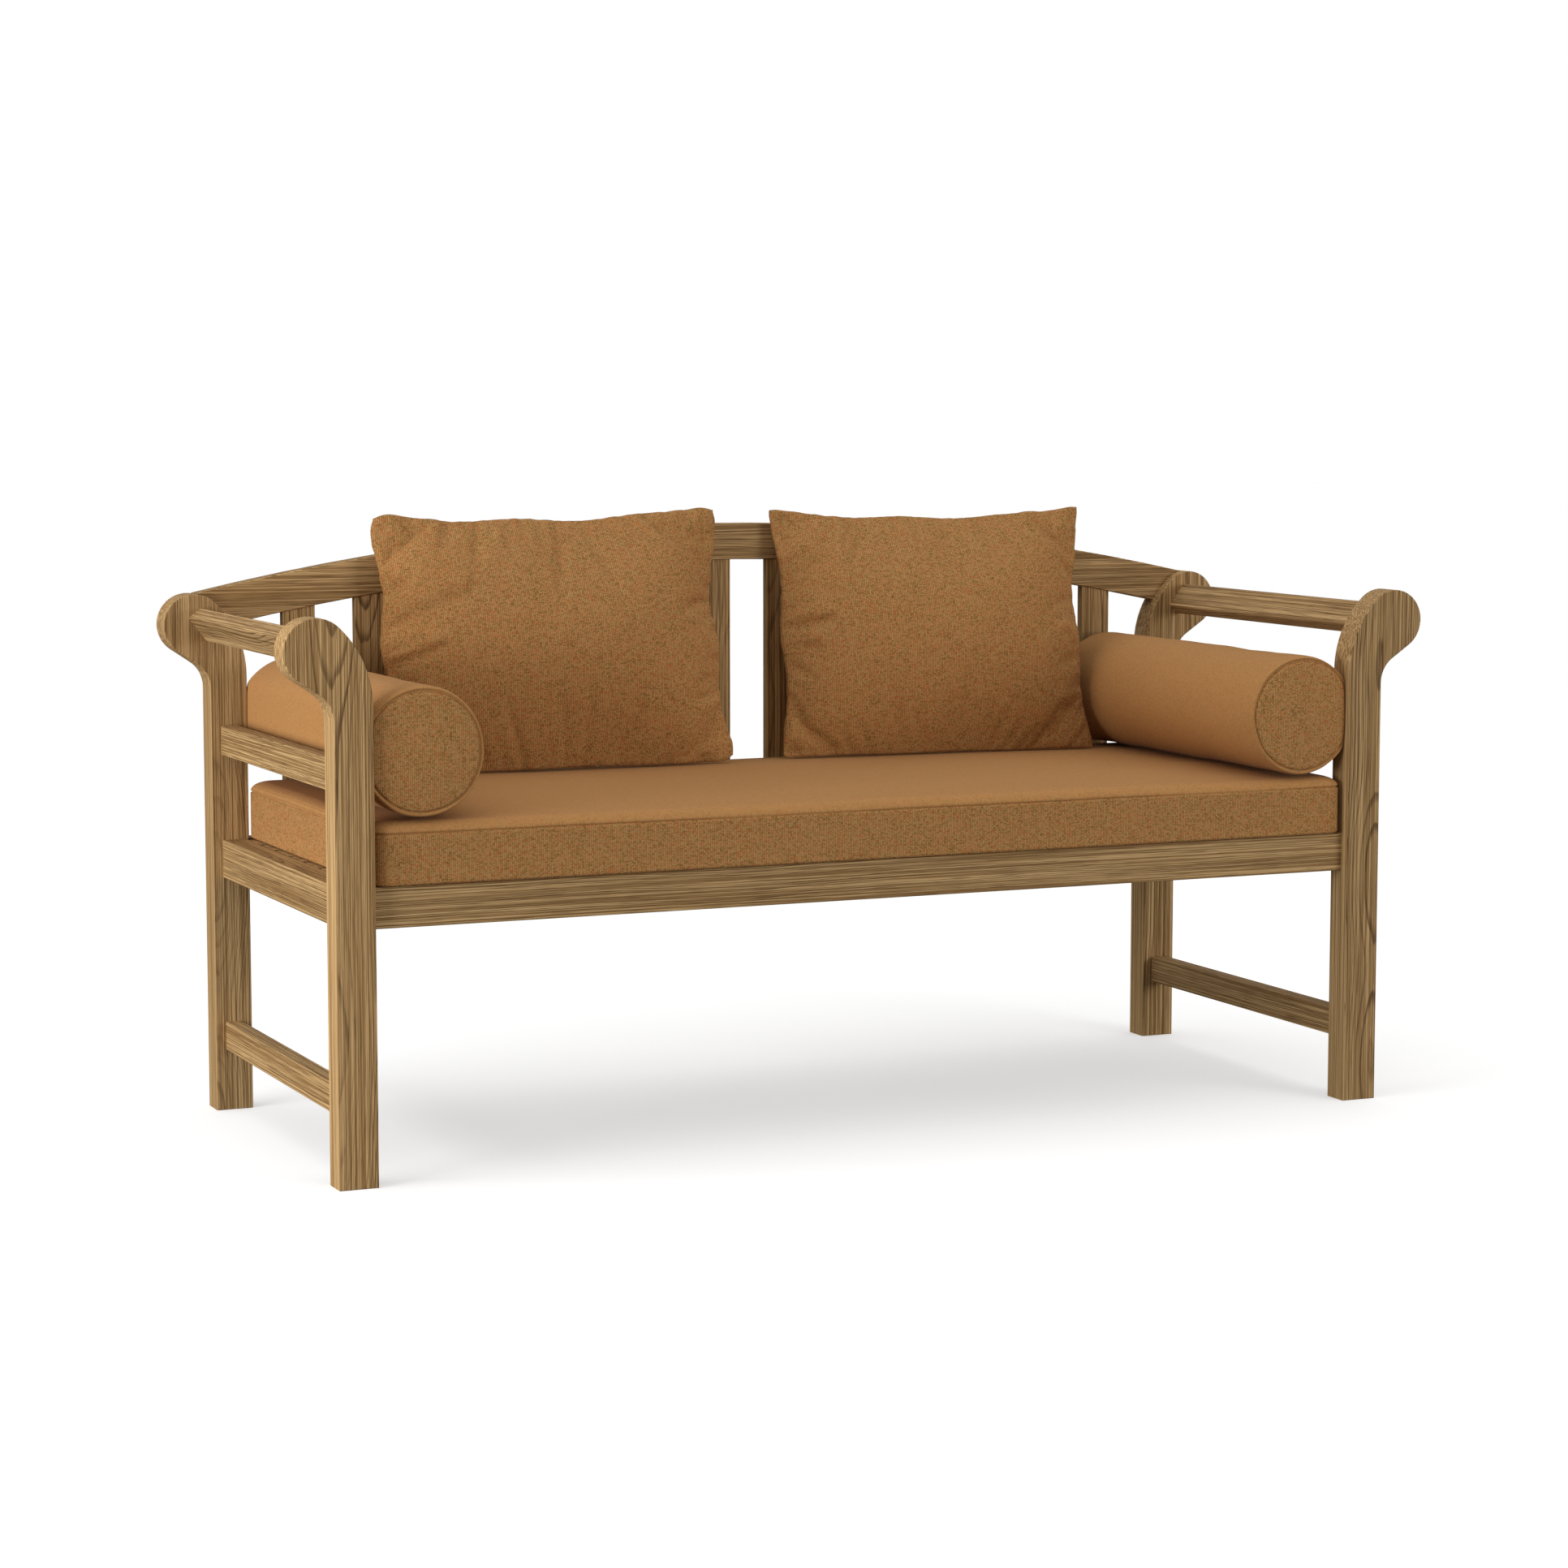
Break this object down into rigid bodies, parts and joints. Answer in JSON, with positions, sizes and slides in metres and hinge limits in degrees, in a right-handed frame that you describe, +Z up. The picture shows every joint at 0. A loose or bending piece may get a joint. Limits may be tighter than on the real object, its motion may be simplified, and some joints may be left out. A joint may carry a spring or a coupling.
{
  "type": "daybed",
  "caption": "Wooden daybed with scrolled end posts, an arched slatted back, open rail arms, a box seat cushion, round bolsters and loose back pillows.",
  "frame": {"origin": "on the floor, under the middle of the frame", "axes": "+X along the seat to the right as seen from the front, -Y towards the front, +Z up"},
  "size_m": [1.7628, 0.6582, 0.8832],
  "materials": {
    "timber": "wire-brushed, oiled, open grain",
    "deck_timber": "planed, unfinished",
    "screw_steel": "zinc-plated",
    "cover_cloth": "coarse ribbed melange weave"
  },
  "bodies": {
    "frame": {"post_front_left": "timber", "post_front_right": "timber", "post_back_left": "timber", "post_back_right": "timber", "arm_top_rail_left": "timber", "arm_top_rail_right": "timber", "arm_mid_rail_left": "timber", "arm_mid_rail_right": "timber", "side_seat_rail_left": "timber", "side_seat_rail_right": "timber", "side_stretcher_left": "timber", "side_stretcher_right": "timber", "front_seat_rail": "timber", "back_seat_rail": "timber", "crest_rail": "timber", "back_slat_01": "timber", "back_slat_02": "timber", "back_slat_03": "timber", "back_slat_04": "timber", "back_slat_05": "timber", "back_slat_06": "timber", "back_slat_07": "timber", "back_slat_08": "timber", "back_slat_09": "timber", "back_slat_10": "timber", "back_slat_11": "timber", "back_slat_12": "timber", "back_slat_13": "timber", "seat_slat_1": "deck_timber", "seat_slat_2": "deck_timber", "seat_slat_3": "deck_timber", "seat_slat_4": "deck_timber", "seat_slat_5": "deck_timber", "seat_slat_6": "deck_timber", "seat_slat_7": "deck_timber", "seat_slat_8": "deck_timber", "slat_cleat_left": "deck_timber", "slat_cleat_right": "deck_timber", "cross_bearer_left": "deck_timber", "cross_bearer_right": "deck_timber", "slat_screws": "screw_steel", "cleat_screws": "screw_steel", "tenon_pins": "timber"},
    "seat_cushion": {"seat_cushion": "cover_cloth"},
    "bolster_left": {"bolster_left": "cover_cloth"},
    "bolster_right": {"bolster_right": "cover_cloth"},
    "pillow_left": {"pillow_left": "cover_cloth"},
    "pillow_right": {"pillow_right": "cover_cloth"}
  },
  "joints": [
    {"name": "seat_cushion_lift", "type": "slide", "parent": "frame", "child": "seat_cushion", "axis": [0, 0, 1], "range_m": [0, 0.25]},
    {"name": "bolster_left_lift", "type": "slide", "parent": "seat_cushion", "child": "bolster_left", "axis": [0, 0, 1], "range_m": [0, 0.2]},
    {"name": "bolster_right_lift", "type": "slide", "parent": "seat_cushion", "child": "bolster_right", "axis": [0, 0, 1], "range_m": [0, 0.2]},
    {"name": "pillow_left_lift", "type": "slide", "parent": "seat_cushion", "child": "pillow_left", "axis": [0, 0, 1], "range_m": [0, 0.2]},
    {"name": "pillow_right_lift", "type": "slide", "parent": "seat_cushion", "child": "pillow_right", "axis": [0, 0, 1], "range_m": [0, 0.2]}
  ]
}
